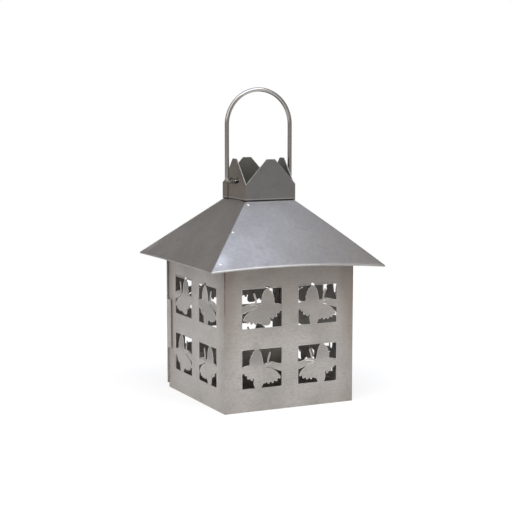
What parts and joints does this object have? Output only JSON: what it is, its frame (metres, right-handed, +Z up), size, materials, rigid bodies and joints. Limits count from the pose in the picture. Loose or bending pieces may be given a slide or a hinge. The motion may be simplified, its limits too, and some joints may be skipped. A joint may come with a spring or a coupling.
{
  "type": "punched tin lantern",
  "caption": "Square tin candle lantern with butterfly windows, a hipped roof, a petal crown, a rear door and a wire bail.",
  "frame": {"origin": "middle of the floor's underside, on the surface the lantern stands on", "axes": "+Z up, the front faces -Y, the door is on the +Y side and hinged at +X"},
  "size_m": [0.146, 0.146, 0.2448],
  "materials": {
    "wall_tin": "matte warm grey tin plate with rolling streaks",
    "roof_tin": "satin blue-grey tin plate",
    "crown_tin": "satin dark grey tin plate",
    "floor_tin": "dull grey tin plate",
    "pin_steel": "bright drawn wire",
    "bail_wire": "smooth drawn wire"
  },
  "bodies": {
    "lantern_body": {"front_wall": "wall_tin", "left_wall": "wall_tin", "right_wall": "wall_tin", "rear_header": "wall_tin", "roof_front": "roof_tin", "roof_rear": "roof_tin", "roof_left": "roof_tin", "roof_right": "roof_tin", "crown_front": "crown_tin", "crown_rear": "crown_tin", "crown_left": "crown_tin", "crown_right": "crown_tin", "base_tray": "floor_tin", "candle_cup": "floor_tin", "lower_hinge_pin": "pin_steel", "upper_hinge_pin": "pin_steel"},
    "door": {"door": "wall_tin"},
    "bail": {"bail": "bail_wire"}
  },
  "joints": [
    {"name": "door_swing", "type": "hinge", "parent": "lantern_body", "child": "door", "pos_m": [0.05605, 0.05695, 0.0561], "axis": [0, 0, -1], "range_deg": [0, 250]},
    {"name": "bail_swing", "type": "hinge", "parent": "lantern_body", "child": "bail", "pos_m": [0, 0, 0.1716], "axis": [1, 0, 0], "range_deg": [-120, 120]}
  ]
}
